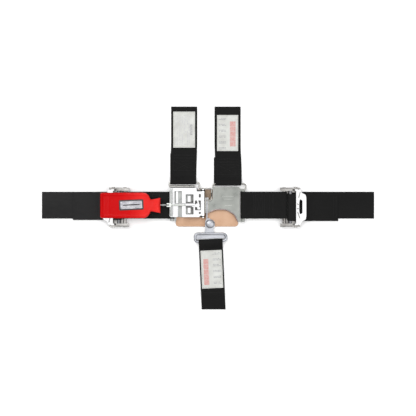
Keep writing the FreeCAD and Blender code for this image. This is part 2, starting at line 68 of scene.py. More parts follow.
class Shader:
    """A material's node tree with short calls for the nodes that the materials share."""

    def __init__(self, name, roughness=0.5, metallic=0.0):
        self.material = bpy.data.materials.new(name)
        self.material.use_nodes = True
        self.tree = self.material.node_tree
        self.nodes = self.tree.nodes
        self.bsdf = self.nodes["Principled BSDF"]
        self.set(Roughness=roughness, Metallic=metallic)

    def set(self, **values):
        for key, value in values.items():
            self.bsdf.inputs[key.replace("_", " ")].default_value = value

    def link(self, source, target):
        self.tree.links.new(source, target)

    def add(self, kind, **settings):
        node = self.nodes.new(kind)
        for key, value in settings.items():
            if key in node.inputs:
                node.inputs[key].default_value = value
            else:
                setattr(node, key, value)
        return node

    def coords(self, source="Object", scale=(1, 1, 1), rotation=(0, 0, 0)):
        """Coordinates scaled to one unit per feature."""
        origin = self.add("ShaderNodeTexCoord").outputs[source]
        mapping = self.add("ShaderNodeMapping", Scale=scale, Rotation=rotation)
        self.link(origin, mapping.inputs["Vector"])
        return mapping.outputs["Vector"]

    def noise(self, vector, scale, detail=4.0, rough=0.55):
        node = self.add("ShaderNodeTexNoise", Scale=scale, Detail=detail, Roughness=rough)
        self.link(vector, node.inputs["Vector"])
        return node.outputs["Fac"]

    def math(self, operation, a, b=None, c=None):
        node = self.add("ShaderNodeMath", operation=operation)
        for socket, value in zip(node.inputs, (a, b, c)):
            if value is None:
                continue
            if isinstance(value, (int, float)):
                socket.default_value = value
            else:
                self.link(value, socket)
        return node.outputs[0]

    def ramp(self, factor, stops):
        """A colour ramp from (position, colour) stops."""
        node = self.add("ShaderNodeValToRGB")
        elements = node.color_ramp.elements
        while len(elements) < len(stops):
            elements.new(0.5)
        for element, (position, colour) in zip(elements, stops):
            element.position = position
            element.color = colour if len(colour) == 4 else (*colour, 1)
        self.link(factor, node.inputs["Fac"])
        return node.outputs["Color"]

    def span(self, factor, low, high, to_low=0.0, to_high=1.0):
        """Maps a range onto another one, clamped."""
        node = self.add("ShaderNodeMapRange")
        for key, value in zip(("From Min", "From Max", "To Min", "To Max"),
                              (low, high, to_low, to_high)):
            node.inputs[key].default_value = value
        self.link(factor, node.inputs["Value"])
        return node.outputs["Result"]

    def mixed(self, factor, colour, other):
        """The colour, with a second fixed colour mixed in by the factor."""
        node = self.add("ShaderNodeMix", data_type="RGBA")
        self.link(factor, node.inputs["Factor"])
        self.link(colour, node.inputs[6])
        node.inputs[7].default_value = other
        return node.outputs[2]

    def bump(self, height, distance, strength=1.0, after=None):
        node = self.add("ShaderNodeBump", Distance=distance, Strength=strength)
        self.link(height, node.inputs["Height"])
        if after is not None:
            self.link(after, node.inputs["Normal"])
        return node.outputs["Normal"]

    def finish(self, colour=None, roughness=None, normal=None):
        for name, value in (("Base Color", colour), ("Roughness", roughness), ("Normal", normal)):
            if value is not None:
                self.link(value, self.bsdf.inputs[name])
        return self.material


def grey(level):
    return (level, level, level, 1)


# ---------------------------------------------------------------- materials

def webbing_material(name, dark, light):
    """Black herringbone webbing: fine twill over cords, worn patches and a little fuzz."""
    s = Shader(name, roughness=0.72)
    s.set(Sheen_Weight=0.06, Sheen_Roughness=0.4, Specular_IOR_Level=0.12)
    uv = s.coords("UV", (1000, 1000, 1000))
    parts = s.add("ShaderNodeSeparateXYZ")
    s.link(uv, parts.inputs[0])
    along, across = parts.outputs[0], parts.outputs[1]
    zigzag = s.math("PINGPONG", across, 2.6)
    twill = s.math("SINE", s.math("MULTIPLY", s.math("ADD", along, zigzag), 2 * math.pi / 1.3))
    cords = s.math("SINE", s.math("MULTIPLY", across, 2 * math.pi / 0.8))
    weave = s.math("ADD", s.math("MULTIPLY", twill, 0.6), s.math("MULTIPLY", cords, 0.4))
    weave = s.span(weave, -1.0, 1.0)
    wear = s.noise(s.coords("UV", (60, 260, 1)), 1.0, 5.0)
    patches = s.noise(s.coords("UV", (9, 14, 1)), 1.0, 3.0)
    tone = s.math("ADD", s.math("MULTIPLY", weave, 0.45), s.math("MULTIPLY", wear, 0.35))
    tone = s.math("ADD", tone, s.math("MULTIPLY", patches, 0.3))
    colour = s.ramp(tone, [(0.25, dark), (0.85, light)])
    fine = s.noise(s.coords("UV", (900, 900, 1)), 1.0, 2.0)
    normal = s.bump(weave, 0.00022, 0.9)
    normal = s.bump(fine, 0.00006, 0.5, normal)
    return s.finish(colour, s.span(wear, 0.3, 0.7, 0.62, 0.84), normal)


def thread_material():
    """Black sewing thread."""
    s = Shader("stitch_thread", roughness=0.6)
    s.set(Sheen_Weight=0.08, Specular_IOR_Level=0.2)
    tint = s.noise(s.coords(), 900.0, 2.0)
    colour = s.ramp(tint, [(0.3, (0.005, 0.005, 0.005)), (0.7, (0.022, 0.022, 0.022))])
    return s.finish(colour, None, s.bump(tint, 0.0001))


def label_material():
    """Woven satin label cloth, slightly yellowed and wrinkled."""
    s = Shader("label_cloth", roughness=0.6)
    s.set(Sheen_Weight=0.05, Specular_IOR_Level=0.3)
    place = s.coords("Object")
    weave = s.math("SINE", s.math("MULTIPLY", s.noise(place, 2600.0, 1.0), 20.0))
    stain_and_shade = s.noise(place, 60.0, 4.0)
    colour = s.ramp(stain_and_shade, [(0.3, (0.55, 0.55, 0.52)), (0.7, (0.69, 0.70, 0.67))])
    normal = s.bump(s.noise(place, 120.0, 3.0), 0.0006, 0.4, s.bump(weave, 0.00004, 0.5))
    return s.finish(colour, None, normal)


def ink_material(name, fade_and_highlight, solid):
    """Printed ink that has worn a little."""
    s = Shader(name, roughness=0.55)
    wear = s.noise(s.coords("Object"), 700.0, 4.0)
    return s.finish(s.ramp(wear, [(0.35, fade_and_highlight), (0.65, solid)]), None, s.bump(wear, 0.00003))


def leather_material():
    """Vegetable-tanned leather: grain, pores, cloudy tanning and a painted shade spot by the
    latch.
    """
    s = Shader("tan_leather", roughness=0.5)
    s.set(Specular_IOR_Level=0.3, Coat_Weight=0.05, Coat_Roughness=0.35)
    place = s.coords("Object")
    grain = s.add("ShaderNodeTexVoronoi", feature="DISTANCE_TO_EDGE", Scale=950.0)
    s.link(place, grain.inputs["Vector"])
    cells = s.span(grain.outputs["Distance"], 0.0, 0.25)
    clouds = s.noise(place, 38.0, 5.0)
    pores = s.noise(place, 1500.0, 3.0)
    tone = s.math("ADD", s.math("MULTIPLY", clouds, 0.75), s.math("MULTIPLY", pores, 0.25))
    colour = s.ramp(tone, [(0.3, (0.46, 0.265, 0.16)), (0.5, (0.585, 0.36, 0.23)),
                           (0.72, (0.66, 0.435, 0.295))])
    parts = s.add("ShaderNodeSeparateXYZ")
    s.link(place, parts.inputs[0])
    # Painted shade: the leather darkens to a dull brown just beside the latch, where shade falls
    # between the latch and the link.
    beside = s.math("ABSOLUTE", s.math("ADD", parts.outputs[0], 3 * MM))
    painted_latch_shade = s.math("MULTIPLY", s.span(beside, 7 * MM, 11 * MM, 0.8, 0.0),
                   s.span(parts.outputs[1], 2 * MM, 10 * MM))
    colour = s.mixed(painted_latch_shade, colour, (0.20, 0.15, 0.10, 1))
    normal = s.bump(cells, 0.00012, 0.55)
    normal = s.bump(pores, 0.00008, 0.4, normal)
    return s.finish(colour, s.span(clouds, 0.3, 0.7, 0.42, 0.6), normal)


def leather_edge_material():
    """The burnished cut edge of the leather."""
    s = Shader("leather_edge", roughness=0.4)
    fibres = s.noise(s.coords("Object", (1, 1, 6)), 300.0, 4.0)
    colour = s.ramp(fibres, [(0.3, (0.30, 0.14, 0.07)), (0.7, (0.47, 0.25, 0.13))])
    return s.finish(colour, None, s.bump(fibres, 0.0003))


def metal_material(name, dark, light, rough, scratch=0.5, grain=(1, 1, 1), grain_size=900.0,
                   painted_shade_span=None):
    """Plated or satin metal with a fine grain, hairline scratches and cloudy polish.

    The last argument gives the X where painted shade starts to darken the metal, and where it is
    darkest."""
    s = Shader(name, roughness=rough, metallic=1.0)
    place = s.coords("Object")
    lines = s.noise(s.coords("Object", grain), grain_size, 4.0, 0.7)
    clouds = s.noise(place, 55.0, 4.0)
    colour = s.ramp(clouds, [(0.3, dark), (0.7, light)])
    if painted_shade_span:
        parts = s.add("ShaderNodeSeparateXYZ")
        s.link(place, parts.inputs[0])
        # Painted shade: the metal darkens along X towards the latch, where shade falls in the
        # recesses between parts.
        shade_ramp = s.span(parts.outputs[0], *painted_shade_span)
        stain_and_shade = s.math("MULTIPLY", shade_ramp, s.span(s.noise(place, 160.0, 4.0), 0.2, 0.6, 0.75, 1.0))
        colour = s.mixed(stain_and_shade, colour, (0.085, 0.083, 0.08, 1))
    roughness = s.math("ADD", s.span(clouds, 0.3, 0.7, rough * 0.75, rough * 1.2),
                       s.span(lines, 0.35, 0.75, -0.04, 0.08))
    return s.finish(colour, roughness, s.bump(lines, 0.00005, scratch))


def red_plastic_material():
    """Moulded red plastic with a painted highlight that lightens it towards its neck, an orange
    peel and scuffs.
    """
    s = Shader("red_plastic", roughness=0.28)
    s.set(Coat_Weight=0.02, Coat_Roughness=0.15, Specular_IOR_Level=0.06)
    place = s.coords("Object")
    peel = s.noise(place, 420.0, 2.0)
    clouds = s.noise(place, 30.0, 4.0)
    scuffs = s.noise(s.coords("Object", (1, 5, 1), (0, 0, 0.4)), 160.0, 6.0, 0.7)
    parts = s.add("ShaderNodeSeparateXYZ")
    s.link(place, parts.inputs[0])
    # Painted highlight: the red lightens along X from the grip's square end to its shoulder and
    # neck.
    fade_and_highlight = s.span(parts.outputs[0], -178 * MM, -118 * MM)
    tone = s.math("ADD", s.math("MULTIPLY", clouds, 0.5), s.math("MULTIPLY", fade_and_highlight, 0.5))
    colour = s.ramp(tone, [(0.15, (0.50, 0.002, 0.003)), (0.45, (0.58, 0.003, 0.004)),
                           (0.85, (0.80, 0.030, 0.026))])
    return s.finish(colour, s.span(scuffs, 0.45, 0.75, 0.22, 0.42), s.bump(peel, 0.00012, 0.35))


def badge_material():
    """Brushed silver foil."""
    s = Shader("silver_foil", roughness=0.3, metallic=0.75)
    brush = s.noise(s.coords("Object", (1, 14, 1)), 220.0, 5.0)
    clouds = s.noise(s.coords("Object"), 120.0, 3.0)
    colour = s.ramp(s.math("MULTIPLY", s.math("ADD", brush, clouds), 0.5),
                    [(0.35, (0.20, 0.20, 0.23)), (0.62, (0.56, 0.56, 0.58))])
    return s.finish(colour, s.span(brush, 0.3, 0.7, 0.22, 0.42), s.bump(brush, 0.00005))


def dark_rubber_material():
    s = Shader("dark_border", roughness=0.45)
    tint = s.noise(s.coords("Object"), 500.0, 3.0)
    colour = s.ramp(tint, [(0.3, grey(0.02)), (0.7, grey(0.05))])
    return s.finish(colour, None, s.bump(tint, 0.00006))


def floor_material():
    s = Shader("pale_floor", roughness=0.9)
    s.set(Specular_IOR_Level=0.1, Emission_Color=grey(1.0), Emission_Strength=0.14)
    tint = s.noise(s.coords("Object"), 2.0, 2.0)
    return s.finish(s.ramp(tint, [(0.0, grey(0.93)), (1.0, grey(0.95))]))


MATERIALS = {
    "webbing": webbing_material("black_webbing", (0.002, 0.002, 0.0022), (0.016, 0.016, 0.0156)),
    "webbing_grey": webbing_material("black_webbing_worn", (0.006, 0.006, 0.0065),
                                     (0.036, 0.036, 0.036)),
    "thread": thread_material(),
    "label": label_material(),
    "grey_ink": ink_material("grey_ink", (0.50, 0.50, 0.51), (0.24, 0.24, 0.26)),
    "pale_ink": ink_material("pale_ink", (0.62, 0.62, 0.62), (0.46, 0.46, 0.48)),
    "red_ink": ink_material("red_ink", (0.66, 0.46, 0.43), (0.58, 0.24, 0.22)),
    "leather": leather_material(),
    "leather_edge": leather_edge_material(),
    "chrome": metal_material("chrome", (0.88, 0.88, 0.89), (0.97, 0.97, 0.97), 0.10, 0.25),
    # Painted shade: a darker copy of the plated steel for the latch's base and the lever's rolled
    # end, standing in for the shade inside the lever's windows and under its curl.
    "mid_shade_steel": metal_material("mid_shade_steel", (0.30, 0.31, 0.305), (0.42, 0.43, 0.42), 0.34, 0.4,
                                 painted_shade_span=(-40 * MM, -26 * MM)),
    # The link's darkening near the latch is painted shade between the latch and the link.
    "satin_steel": metal_material("satin_steel", (0.235, 0.245, 0.23), (0.31, 0.32, 0.30), 0.36,
                                  0.5, (1, 9, 1), 500.0, (2 * MM, -8 * MM)),
    # Painted reflection: the rim's pinkish tint stands in for the tan leather reflected in the
    # metal.
    "rim_leather_reflection": metal_material("rim_leather_reflection", (0.34, 0.27, 0.27), (0.46, 0.38, 0.38), 0.3),
    "bright_line": metal_material("bright_line", (0.62, 0.64, 0.61), (0.72, 0.74, 0.71), 0.4),
    "zinc": metal_material("bright_zinc", (0.33, 0.34, 0.37), (0.50, 0.51, 0.545), 0.42, 0.4),
    "wire": metal_material("bright_wire", (0.30, 0.295, 0.28), (0.50, 0.49, 0.46), 0.3, 0.3),
    # Painted shade: dark steel for the cam levers' pressed ribs, standing in for the shade along
    # their edges.
    "cam_rib_shade": metal_material("cam_rib_shade", (0.20, 0.20, 0.19), (0.36, 0.36, 0.35), 0.3),
    "frame_steel": metal_material("frame_steel", (0.17, 0.16, 0.15), (0.44, 0.43, 0.415), 0.3),
    # Painted shade: near-black steel for the lever's creases and for the slide bars, which sit in
    # the dark gap between the straps.
    "deep_shade_steel": metal_material("deep_shade_steel", (0.10, 0.10, 0.11), (0.22, 0.22, 0.23), 0.35),
    "cable": metal_material("cable_wire", (0.22, 0.225, 0.22), (0.42, 0.425, 0.42), 0.35),
    "red": red_plastic_material(),
    "foil": badge_material(),
    "border": dark_rubber_material(),
}


# ---------------------------------------------------------------- mesh helpers

def mesh_piece(name, vertices, faces, materials, uvs=None, face_materials=None, sharp=35):
    """An object from vertices and faces, smooth shaded below an angle."""
    mesh = bpy.data.meshes.new(name)
    mesh.from_pydata([tuple(v) for v in vertices], [], faces)
    for material in materials:
        mesh.materials.append(MATERIALS[material])
    if uvs:
        layer = mesh.uv_layers.new(name="web")
        for loop in mesh.loops:
            layer.data[loop.index].uv = uvs[loop.vertex_index]
    if face_materials:
        mesh.polygons.foreach_set("material_index", face_materials)
    mesh.polygons.foreach_set("use_smooth", [True] * len(mesh.polygons))
    tidy = bmesh.new()
    tidy.from_mesh(mesh)
    bmesh.ops.recalc_face_normals(tidy, faces=tidy.faces)
    tidy.to_mesh(mesh)
    tidy.free()
    mesh.set_sharp_from_angle(angle=math.radians(sharp))
    piece = bpy.data.objects.new(name, mesh)
    bpy.context.scene.collection.objects.link(piece)
    return piece


def ring_faces(rings, count):
    """Quads between rings of count vertices each, with a cap at both ends."""
    faces = []
    for i in range(rings - 1):
        here, there = i * count, (i + 1) * count
        for k in range(count):
            nxt = (k + 1) % count
            faces.append((here + k, here + nxt, there + nxt, there + k))
    faces.append(tuple(reversed(range(count))))
    faces.append(tuple(range((rings - 1) * count, rings * count)))
    return faces


def install(piece, body, slot, *nodes):
    """Puts a finished piece on its body in place of the nodes."""
    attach(piece, body)
    if nodes:
        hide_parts(*nodes)
    return piece


def rounded_route(route, step=2.5 * MM):
    """Points along straight runs and tangent bends of (run, height, bend radius) corners."""
    corners = [Vector((x, z)) for x, z, _ in route]
    points = [corners[0]]
    for before, corner, after, (_, _, radius) in zip(corners, corners[1:], corners[2:], route[1:]):
        first = (corner - before).normalized()
        second = (after - corner).normalized()
        turn = first.angle(second)
        reach = radius * math.tan(turn / 2)
        start, end = corner - first * reach, corner + second * reach
        sense = 1 if first.cross(second) > 0 else -1
        centre = start + Vector((-first.y, first.x)) * radius * sense
        add_run(points, start, step)
        parts = max(3, int(turn / 0.2))
        for k in range(1, parts + 1):
            spoke = start - centre
            spoke.rotate(Matrix.Rotation(sense * turn * k / parts, 2))
            points.append(centre + spoke)
        points[-1] = end
    add_run(points, corners[-1], step)
    return points


def add_run(points, target, step):
    """Adds evenly spaced points from the last one to the target."""
    run = target - points[-1]
    parts = max(1, int(run.length / step))
    here = points[-1].copy()
    points.extend(here + run * k / parts for k in range(1, parts + 1))


# ---------------------------------------------------------------- webbing

def web_section(half_width):
    """The cross-section of webbing: five shallow panels and rounded, denser edges."""
    top = []
    columns = 30
    for k in range(columns + 1):
        y = -half_width + 0.6 * MM + (2 * half_width - 1.2 * MM) * k / columns
        panel = abs(math.sin(math.pi * 5 * (y / half_width + 1) / 2))
        top.append((y, WEB / 2 - 0.09 * MM * (1 - min(1.0, panel * 3))))
    side = [(half_width - 0.12 * MM, 0.38 * WEB), (half_width, 0.0),
            (half_width - 0.12 * MM, -0.38 * WEB)]
    bottom = [(y, -z) for y, z in reversed(top)]
    other = [(-y, -z) for y, z in side]
    return top + side + bottom + other


def webbing(name, route, width, place, shift=None, material="webbing", ripple=0.12 * MM):
    """A webbing strap of a route in its own run-height plane, put in place by a matrix.

    shift moves the strap sideways by its path length and position."""
    points = rounded_route(route)
    section = web_section(width / 2)
    vertices, uvs = [], []
    length = 0.0
    phase = rng.random() * 10
    for i, point in enumerate(points):
        if i:
            length += (point - points[i - 1]).length
        before = points[max(0, i - 1)]
        after = points[min(len(points) - 1, i + 1)]
        heading = (after - before).normalized()
        normal = Vector((-heading.y, heading.x))
        seal = 0.72 if i in (0, len(points) - 1) else 1.0
        slide = shift(i / (len(points) - 1), point) if shift else 0.0
        for y, z in section:
            wave = ripple * noise.noise(Vector((length * 45, y * 28, phase)))
            edge = 0.10 * MM * math.sin(length * 420 + y * 35 + phase) * (y / width * 2) ** 4
            centre = point + normal * (z * seal)
            vertices.append(place @ Vector((centre.x, y + slide, max(centre.y + wave * seal + edge,
                                                                    FLOOR_LIFT))))
            uvs.append((length, y))
    faces = ring_faces(len(points), len(section))
    return mesh_piece(name, vertices, faces, [material], uvs, sharp=60)


def stitches(name, lines, lift, place, stitch=2.6 * MM, gap=0.9 * MM, thick=0.42 * MM):
    """Rows of raised stitches along straight lines on a flat stretch of webbing."""
    vertices, faces = [], []
    for (x0, y0), (x1, y1) in lines:
        start, run = Vector((x0, y0)), Vector((x1 - x0, y1 - y0))
        count = max(1, round(run.length / (stitch + gap)))
        heading = run.normalized()
        side = Vector((-heading.y, heading.x))
        for k in range(count):
            middle = start + run * (k + 0.5) / count
            base = len(vertices)
            slant = side * rng.uniform(-0.12, 0.12) * MM
            for t, swell in ((-0.5, 0.35), (-0.32, 0.9), (0.0, 1.0), (0.32, 0.9), (0.5, 0.35)):
                for a in range(6):
                    angle = math.pi * 2 * a / 6
                    spot = (middle + heading * stitch * t + slant * t
                            + side * math.cos(angle) * thick * 0.5 * swell)
                    height = lift + (math.sin(angle) * 0.5 + 0.15) * thick * swell
                    vertices.append(place @ Vector((spot.x, spot.y, height)))
            faces += [tuple(base + v for v in face) for face in ring_faces(5, 6)]
    return mesh_piece(name, vertices, faces, ["thread"], sharp=80)


def box_stitch(x0, x1, half, cross=True):
    """The lines of a box stitch, with its diagonals."""
    lines = [((x0, -half), (x1, -half)), ((x1, -half), (x1, half)), ((x1, half), (x0, half)),
             ((x0, half), (x0, -half))]
    if cross:
        lines += [((x0, -half), (x1, half)), ((x0, half), (x1, -half))]
    return lines


def bar_tacks(stations, half):
    """Rows of stitches straight across the webbing."""
    return [((x, -half), (x, half)) for x in stations]


def around(radius):
    """The radius of the webbing's centre line round a bar."""
    return radius + LOOP_GAP + WEB / 2


def lap_inner_route(buckle_x, buckle_z, adjuster_x):
    """From the sewn tail round the buckle's bar, and outwards round the adjuster's bar."""
    turn = around(FIXED_BAR)
    bend = turn - BEND_SLACK
    low = 6.7 * MM
    high = low + WEB + LAYER_GAP
    bar_z = 7 * MM
    loop_end = adjuster_x + turn + 0.8 * MM
    return [
        (adjuster_x - 34 * MM, low, 0), (buckle_x + 18 * MM, low, 12 * MM),
        (buckle_x + 7 * MM, buckle_z - turn, 9 * MM), (buckle_x - turn, buckle_z - turn, bend),
        (buckle_x - turn, buckle_z + turn, bend), (buckle_x + 5 * MM, buckle_z + turn, 9 * MM),
        (buckle_x + 19 * MM, high, 12 * MM), (adjuster_x - 18 * MM, high, 12 * MM),
        (adjuster_x - 6 * MM, bar_z + turn, 9 * MM), (loop_end, bar_z + turn, bend),
        (loop_end, bar_z - turn, bend), (adjuster_x - 6 * MM, bar_z - turn, 9 * MM),
        (adjuster_x - 17 * MM, low, 12 * MM), (adjuster_x - 28 * MM, low, 0)]


def lap_outer_route(adjuster_x, far_end, tail_end):
    """From the far end inwards, round the slide bar, and back on top as the tail."""
    turn = around(SLIDE_BAR)
    bend = turn - BEND_SLACK
    bar_x = adjuster_x + 11.5 * MM
    low = WEB / 2
    high = 3 * low + LAYER_GAP
    floor = 7.4 * MM - turn
    loop_end = bar_x - turn - 0.7 * MM
    return [
        (far_end, low, 0), (adjuster_x + 56 * MM, low, 30 * MM),
        (adjuster_x + 36 * MM, floor, 30 * MM), (loop_end, floor, bend),
        (loop_end, floor + 2 * turn, bend), (bar_x + 5 * MM, floor + 2 * turn, 9 * MM),
        (adjuster_x + 55 * MM, high, 30 * MM), (tail_end, high, 0)]


def ended_loop_route(bar_z, bar_radius, fold_length, end):
    """From the tail underneath, round a fitting's bar and out along the strap."""
    turn = around(bar_radius)
    bend = turn - BEND_SLACK
    low = WEB / 2
    high = 3 * low + LAYER_GAP
    return [
        (fold_length, low, 0), (11 * MM, low, 12 * MM), (5 * MM, bar_z - turn, 8 * MM),
        (-turn, bar_z - turn, bend), (-turn, bar_z + turn, bend), (4 * MM, bar_z + turn, 5 * MM),
        (13 * MM, high, 8 * MM), (fold_length + 2 * MM, high, 12 * MM),
        (fold_length + 9 * MM, low, 12 * MM), (end, low, 0)]


def placed(x, y, turn):
    """A place on the layout's plane, turned by degrees."""
    return Matrix.Translation((x, y, 0)) @ Matrix.Rotation(math.radians(turn), 4, "Z")


def middle(node):
    """The middle of a node's box."""
    low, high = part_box(node)
    return (low + high) / 2


def lap_belt(side, sign):
    """Inner and outer lap straps of one side, with their stitching."""
    inner, outer = side + "_lap_inner_strap", side + "_lap_outer_strap"
    adjuster_x = abs(middle(side + "_adjuster_bar").x)
    low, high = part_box(inner)
    buckle_x = min(abs(low.x), abs(high.x)) + around(FIXED_BAR) + WEB / 2
    bar_z = 7.1 * MM if sign > 0 else 6.0 * MM
    lap_mid = middle(outer).y
    width = high.y - low.y
    place = placed(0, lap_mid, 0 if sign > 0 else 180)
    piece = webbing(side + "_lap_inner_webbing",
                    lap_inner_route(buckle_x, bar_z, adjuster_x), width, place)
    install(piece, side + "_lap", "webbing", inner)
    half = width / 2 - 5 * MM
    inner_top, tail_top = 9.05 * MM, 3.15 * MM
    lines = (box_stitch(buckle_x + 23 * MM, buckle_x + 37 * MM, half)
             + bar_tacks((buckle_x + 20 * MM, buckle_x + 40 * MM, adjuster_x - 20 * MM,
                          adjuster_x - 22 * MM, adjuster_x - 27 * MM), half))
    install(stitches(side + "_lap_inner_stitching", lines, inner_top, place),
            side + "_lap", "webbing")
    low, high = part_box(outer)
    far_end = max(abs(low.x), abs(high.x))
    tail_end = 244.4 * MM if sign > 0 else 253.8 * MM
    sag = (-4.6 if sign > 0 else 2.6) * MM

    def slip(share, point):
        """The layer that comes back from the loop lies a little to one side."""
        return sag * smooth_step(0.44, 0.72, share)

    route = lap_outer_route(adjuster_x, far_end, tail_end)
    piece = webbing(side + "_lap_outer_webbing", route, width, place, slip,
                    "webbing" if sign > 0 else "webbing_grey")
    install(piece, side + "_lap", "webbing", outer)
    hem = [((tail_end - 4 * MM, -half + sag), (tail_end - 4 * MM, half + sag)),
           ((tail_end - 9 * MM, -half + sag), (tail_end - 9 * MM, half + sag))]
    install(stitches(side + "_tail_stitching", hem, tail_top, place), side + "_lap", "webbing")


def shoulder_belt(side, fold_length, tail_slide, loop_slide):
    """A shoulder strap looped on its fitting, with the stitching of its loop.

    The tail and the loop sit aside by their slides, as webbing sewn by hand does."""
    node = side + "_shoulder_strap"
    low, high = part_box(node)
    ring_y = low.y + around(SHOULDER_WIRE) + WEB / 2
    place = placed((low.x + high.x) / 2, ring_y, 90)
    width = high.x - low.x
    route = ended_loop_route(4.6 * MM, SHOULDER_WIRE, fold_length, high.y - ring_y)

    def slide(share, point):
        loop = loop_slide * (1 - smooth_step(15 * MM, 80 * MM, point.x))
        if share > 0.4:
            return loop
        return loop + (tail_slide - loop) * (1 - smooth_step(0.2, 0.4, share))

    piece = webbing(side + "_shoulder_webbing", route, width, place, slide)
    install(piece, side + "_shoulder", "webbing", node)
    half = width / 2 - 4.5 * MM
    lines = (box_stitch(fold_length - 32 * MM, fold_length - 14 * MM, half)
             + bar_tacks([fold_length - d * MM for d in (10, 8, 4, 2)], half))
    install(stitches(side + "_shoulder_stitching", lines, FOLD_TOP, place),
            side + "_shoulder", "webbing")


def crotch_belt():
    """The crotch strap on its bail, leaning a little, its end square to the layout."""
    lean = 2.56
    low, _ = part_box("crotch_strap")
    bail_y = 62.5 * MM
    place = placed(4.9 * MM, -bail_y, lean - 90)
    end = -low.y - bail_y
    half = 22.5 * MM
    route = ended_loop_route(5.35 * MM, CROTCH_BAIL, 98 * MM, end)
    piece = webbing("crotch_webbing", route, 2 * half, place)
    square_off(piece, low.y)
    install(piece, "crotch", "webbing", "crotch_strap")
    lines = box_stitch(91 * MM, 96 * MM, half - 4 * MM, cross=False)
    install(stitches("crotch_stitching", lines, FOLD_TOP, place), "crotch", "webbing")
    return place


def square_off(piece, limit):
    """Moves the far end's vertices onto a line of constant Y."""
    reach, margin = 2.2 * MM, 0.05 * MM
    for vertex in piece.data.vertices:
        if vertex.co.y < limit + reach:
            vertex.co.y = limit + margin


# ---------------------------------------------------------------- labels

def slab(corners, columns, rows, surface, thick, place):
    """Vertices and faces of a thin sheet over a rectangle, its underside on a surface."""
    (x0, y0), (x1, y1) = corners
    vertices, faces = [], []
    for layer in (0, 1):
        for i in range(rows + 1):
            for j in range(columns + 1):
                x, y = x0 + (x1 - x0) * j / columns, y0 + (y1 - y0) * i / rows
                vertices.append(place @ Vector((x, y, surface(x, y) + thick * layer)))
    stride = columns + 1
    layer_size = stride * (rows + 1)
    for i in range(rows):
        for j in range(columns):
            a = i * stride + j
            quad = (a, a + 1, a + 1 + stride, a + stride)
            faces.append(tuple(v + layer_size for v in quad))
            faces.append(tuple(reversed(quad)))
    rim = ([j for j in range(columns)] + [i * stride + columns for i in range(rows)]
           + [rows * stride + j for j in range(columns, 0, -1)]
           + [i * stride for i in range(rows, 0, -1)])
    for a, b in zip(rim, rim[1:] + rim[:1]):
        faces.append((a, b, b + layer_size, a + layer_size))
    return vertices, faces


def rumpled(width, length, lift):
    """The underside of a label's cloth: flat at its seams, a little puffed and wavy inside."""
    def surface(x, y):
        rim = min(1.0, max(abs(x) / width, abs(y) / length) * 2)
        bulge = 0.16 * MM * noise.noise(Vector((x * 110, y * 110, 3.3)))
        return lift + (0.14 * MM + bulge) * (1 - rim ** 6)
    return surface


def sewn_label(body, width, length, top, place, marks):
    """A label on a strap: a thin puckered cloth sheet, its plain print and its fine seam."""
    corners = ((-width / 2, -length / 2), (width / 2, length / 2))
    surface = rumpled(width, length, top)
    vertices, faces = slab(corners, 36, 54, surface, LABEL_CLOTH, place)
    piece = mesh_piece(body + "_patch", vertices, faces, ["label"], sharp=50)
    install(piece, body, "label", body + "_label")
    print_marks(body + "_print", body, place, surface, marks)
    seam = edge_stitch(width, length, 1.6 * MM)
    name = body.removesuffix("_shoulder") + "_label_seam"
    install(stitches(name, seam, top + 0.32 * MM, place, 1.9 * MM, 0.8 * MM, 0.3 * MM),
            body, "label")


def print_marks(name, body, place, surface, marks):
    """Printed blocks that follow a label's cloth, from (left, low, right, high, ink) marks."""
    vertices, faces, materials = [], [], []
    names = sorted({mark[4] for mark in marks})
    sunk, cell = 0.03 * MM, 1.2 * MM
    for x0, y0, x1, y1, ink in marks:
        spots, quads = slab(((x0, y0), (x1, y1)), math.ceil((x1 - x0) / cell),
                            math.ceil((y1 - y0) / cell),
                            lambda x, y: surface(x, y) + LABEL_CLOTH - sunk, 3 * sunk, place)
        faces += [tuple(len(vertices) + v for v in quad) for quad in quads]
        vertices += spots
        materials += [names.index(ink)] * len(quads)
    piece = mesh_piece(name, vertices, faces, names, face_materials=materials)
    return install(piece, body, "label")


def rows_of_marks(left, right, low, high, pitch, thick, ink, fill=0.8):
    """Rows of plain bars of uneven length, as close-set small print looks from afar."""
    marks = []
    y = high
    while y > low:
        x = left
        while x < right - 1.2 * MM:
            run = min(rng.uniform(1.2, 4.2) * MM, right - x)
            if rng.random() < fill:
                marks.append((x, y - thick, x + run, y, ink))
            x += run + 0.6 * MM
        y -= pitch
    return marks


def paired_rows(left, right, low, high, pitch):
    """Pairs of grey rows, as the blocks of a table of care instructions look from afar."""
    marks = []
    y = high
    while y > low:
        marks += rows_of_marks(left, right, y - 3.4 * MM, y, 2.3 * MM, 1.1 * MM, "grey_ink", 0.85)
        y -= pitch
    return marks


def turned(marks):
    """The same marks turned a quarter, so that rows run up the label."""
    return [(-y1, x0, -y0, x1, ink) for x0, y0, x1, y1, ink in marks]


def edge_stitch(width, length, inset):
    """The seam round a label."""
    x, y = width / 2 - inset, length / 2 - inset
    return [((-x, -y), (x, -y)), ((x, -y), (x, y)), ((x, y), (-x, y)), ((-x, y), (-x, -y))]


def left_print():
    """Rows that run up the left label: small pale print beside larger grey print."""
    small = turned(rows_of_marks(-29 * MM, 28 * MM, -11 * MM, 16 * MM, 3.1 * MM, 1.2 * MM,
                                 "pale_ink"))
    large = turned(rows_of_marks(-10 * MM, 10 * MM, -14.6 * MM, -11 * MM, 2.6 * MM, 1.7 * MM,
                                 "grey_ink", 0.95))
    return small + large


def right_print():
    """Pairs of grey rows beside a ruled pale-red bar."""
    return (paired_rows(-16.5 * MM, -3 * MM, -27 * MM, 28 * MM, 11 * MM)
            + red_stripe(4.5 * MM, 15 * MM, -25 * MM, 22 * MM))


